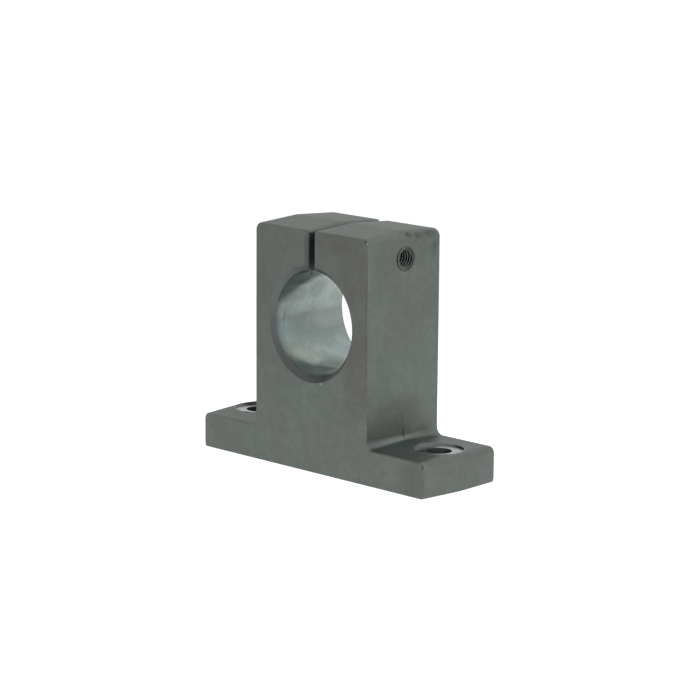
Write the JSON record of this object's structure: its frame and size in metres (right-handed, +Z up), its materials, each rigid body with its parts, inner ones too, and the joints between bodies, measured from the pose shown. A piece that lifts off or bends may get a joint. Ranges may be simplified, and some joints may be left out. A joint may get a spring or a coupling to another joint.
{
  "type": "shaft support block",
  "caption": "Cast iron shaft support block: an upright tower on a drilled foot, with a slit bore that a clamp screw closes round the shaft.",
  "frame": {"origin": "middle of the machined base, where the block's two middle planes meet it", "axes": "+X along the foot towards the tapped side, +Y along the bore, +Z up out of the base"},
  "size_m": [0.074, 0.0242, 0.0577],
  "materials": {
    "cast_iron": "shot-blasted casting with a bright machined bore and screw seats",
    "screw_steel": "black oxide"
  },
  "bodies": {
    "root": {"support_block": "cast_iron", "clamp_screw": "screw_steel"}
  },
  "joints": []
}
